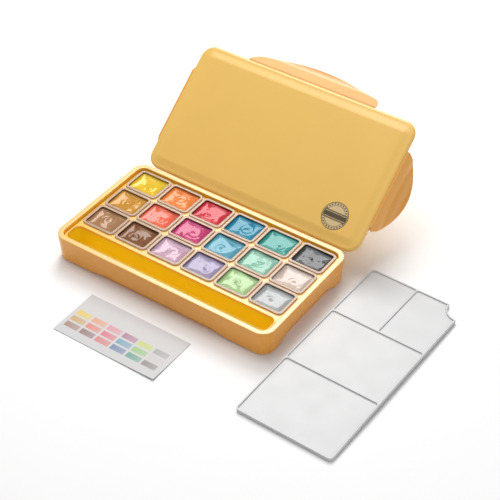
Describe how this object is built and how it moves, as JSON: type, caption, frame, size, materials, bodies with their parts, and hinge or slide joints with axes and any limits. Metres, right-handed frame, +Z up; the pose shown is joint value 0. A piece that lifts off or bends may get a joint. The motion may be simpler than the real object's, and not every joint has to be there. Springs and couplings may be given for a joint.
{
  "type": "gouache paint set box",
  "caption": "Long rounded plastic tray of filled square paint cups with a brush trough, its flap-edged lid standing behind, a mixing palette and a colour card beside it.",
  "frame": {"origin": "middle of the tray's flat underside", "axes": "+X along the rows of six cups, +Y from the brush trough to the lid at the back, +Z up"},
  "size_m": [0.4647, 0.4398, 0.1412],
  "materials": {
    "yellow_moulding": "satin moulded plastic",
    "pale_yellow_insert": "satin moulded plastic",
    "clear_cup": "clear moulded plastic",
    "yellow_lid": "satin moulded plastic",
    "white_palette": "satin white plastic",
    "printed_card": "coated card",
    "paint_yellow": "moist gouache",
    "paint_orange": "moist gouache",
    "paint_red": "moist gouache",
    "paint_blue": "moist gouache",
    "paint_teal": "moist gouache",
    "paint_black_pearl": "moist gouache",
    "paint_gold": "moist gouache",
    "paint_coral": "moist gouache",
    "paint_magenta": "moist gouache",
    "paint_light_blue": "moist gouache",
    "paint_mint": "moist gouache",
    "paint_pale_pearl": "moist gouache",
    "paint_bronze": "moist gouache",
    "paint_brown": "moist gouache",
    "paint_lilac_pink": "moist gouache",
    "paint_purple": "moist gouache",
    "paint_light_green": "moist gouache",
    "paint_silver": "moist gouache"
  },
  "bodies": {
    "tray": {"box_base": "yellow_moulding", "cup_deck": "pale_yellow_insert"},
    "cup_01_filled": {"cup_01": "clear_cup", "paint_01": "paint_yellow"},
    "cup_02_filled": {"cup_02": "clear_cup", "paint_02": "paint_orange"},
    "cup_03_filled": {"cup_03": "clear_cup", "paint_03": "paint_red"},
    "cup_04_filled": {"cup_04": "clear_cup", "paint_04": "paint_blue"},
    "cup_05_filled": {"cup_05": "clear_cup", "paint_05": "paint_teal"},
    "cup_06_filled": {"cup_06": "clear_cup", "paint_06": "paint_black_pearl"},
    "cup_07_filled": {"cup_07": "clear_cup", "paint_07": "paint_gold"},
    "cup_08_filled": {"cup_08": "clear_cup", "paint_08": "paint_coral"},
    "cup_09_filled": {"cup_09": "clear_cup", "paint_09": "paint_magenta"},
    "cup_10_filled": {"cup_10": "clear_cup", "paint_10": "paint_light_blue"},
    "cup_11_filled": {"cup_11": "clear_cup", "paint_11": "paint_mint"},
    "cup_12_filled": {"cup_12": "clear_cup", "paint_12": "paint_pale_pearl"},
    "cup_13_filled": {"cup_13": "clear_cup", "paint_13": "paint_bronze"},
    "cup_14_filled": {"cup_14": "clear_cup", "paint_14": "paint_brown"},
    "cup_15_filled": {"cup_15": "clear_cup", "paint_15": "paint_lilac_pink"},
    "cup_16_filled": {"cup_16": "clear_cup", "paint_16": "paint_purple"},
    "cup_17_filled": {"cup_17": "clear_cup", "paint_17": "paint_light_green"},
    "cup_18_filled": {"cup_18": "clear_cup", "paint_18": "paint_silver"},
    "foot": {"flap_foot": "yellow_lid"},
    "lid": {"lid_panel": "yellow_lid"},
    "right_flap": {"flap_right": "yellow_lid"},
    "top_flap": {"flap_top": "yellow_lid"},
    "left_flap": {"flap_left": "yellow_lid"},
    "mixing_palette": {"palette": "white_palette"},
    "shade_card": {"colour_card": "printed_card"}
  },
  "joints": [
    {"name": "cup_01_lift", "type": "slide", "parent": "tray", "child": "cup_01_filled", "axis": [0, 0, 1], "range_m": [0, 0.06]},
    {"name": "cup_02_lift", "type": "slide", "parent": "tray", "child": "cup_02_filled", "axis": [0, 0, 1], "range_m": [0, 0.06]},
    {"name": "cup_03_lift", "type": "slide", "parent": "tray", "child": "cup_03_filled", "axis": [0, 0, 1], "range_m": [0, 0.06]},
    {"name": "cup_04_lift", "type": "slide", "parent": "tray", "child": "cup_04_filled", "axis": [0, 0, 1], "range_m": [0, 0.06]},
    {"name": "cup_05_lift", "type": "slide", "parent": "tray", "child": "cup_05_filled", "axis": [0, 0, 1], "range_m": [0, 0.06]},
    {"name": "cup_06_lift", "type": "slide", "parent": "tray", "child": "cup_06_filled", "axis": [0, 0, 1], "range_m": [0, 0.06]},
    {"name": "cup_07_lift", "type": "slide", "parent": "tray", "child": "cup_07_filled", "axis": [0, 0, 1], "range_m": [0, 0.06]},
    {"name": "cup_08_lift", "type": "slide", "parent": "tray", "child": "cup_08_filled", "axis": [0, 0, 1], "range_m": [0, 0.06]},
    {"name": "cup_09_lift", "type": "slide", "parent": "tray", "child": "cup_09_filled", "axis": [0, 0, 1], "range_m": [0, 0.06]},
    {"name": "cup_10_lift", "type": "slide", "parent": "tray", "child": "cup_10_filled", "axis": [0, 0, 1], "range_m": [0, 0.06]},
    {"name": "cup_11_lift", "type": "slide", "parent": "tray", "child": "cup_11_filled", "axis": [0, 0, 1], "range_m": [0, 0.06]},
    {"name": "cup_12_lift", "type": "slide", "parent": "tray", "child": "cup_12_filled", "axis": [0, 0, 1], "range_m": [0, 0.06]},
    {"name": "cup_13_lift", "type": "slide", "parent": "tray", "child": "cup_13_filled", "axis": [0, 0, 1], "range_m": [0, 0.06]},
    {"name": "cup_14_lift", "type": "slide", "parent": "tray", "child": "cup_14_filled", "axis": [0, 0, 1], "range_m": [0, 0.06]},
    {"name": "cup_15_lift", "type": "slide", "parent": "tray", "child": "cup_15_filled", "axis": [0, 0, 1], "range_m": [0, 0.06]},
    {"name": "cup_16_lift", "type": "slide", "parent": "tray", "child": "cup_16_filled", "axis": [0, 0, 1], "range_m": [0, 0.06]},
    {"name": "cup_17_lift", "type": "slide", "parent": "tray", "child": "cup_17_filled", "axis": [0, 0, 1], "range_m": [0, 0.06]},
    {"name": "cup_18_lift", "type": "slide", "parent": "tray", "child": "cup_18_filled", "axis": [0, 0, 1], "range_m": [0, 0.06]},
    {"name": "lid_lift_off", "type": "slide", "parent": "tray", "child": "foot", "axis": [0, 0.0995, 0.995], "range_m": [0, 0.05]},
    {"name": "lid_lean", "type": "hinge", "parent": "foot", "child": "lid", "pos_m": [0.0068, 0.08725, 0.0325], "axis": [1, 0, 0], "range_deg": [-25, 20]},
    {"name": "right_flap_hinge", "type": "hinge", "parent": "lid", "child": "right_flap", "pos_m": [0.1629, 0.15608, 0.08627], "axis": [0, -0.788, -0.6157], "range_deg": [-22, 68]},
    {"name": "left_flap_hinge", "type": "hinge", "parent": "lid", "child": "left_flap", "pos_m": [-0.1493, 0.15608, 0.08627], "axis": [0, 0.788, 0.6157], "range_deg": [-22, 68]},
    {"name": "top_flap_hinge", "type": "hinge", "parent": "lid", "child": "top_flap", "pos_m": [0.0068, 0.22492, 0.14005], "axis": [1, 0, 0], "range_deg": [-38, 52]},
    {"name": "palette_lift", "type": "slide", "parent": "tray", "child": "mixing_palette", "axis": [0, 0, 1], "range_m": [0, 0.05]},
    {"name": "card_lift", "type": "slide", "parent": "tray", "child": "shade_card", "axis": [0, 0, 1], "range_m": [0, 0.05]}
  ]
}
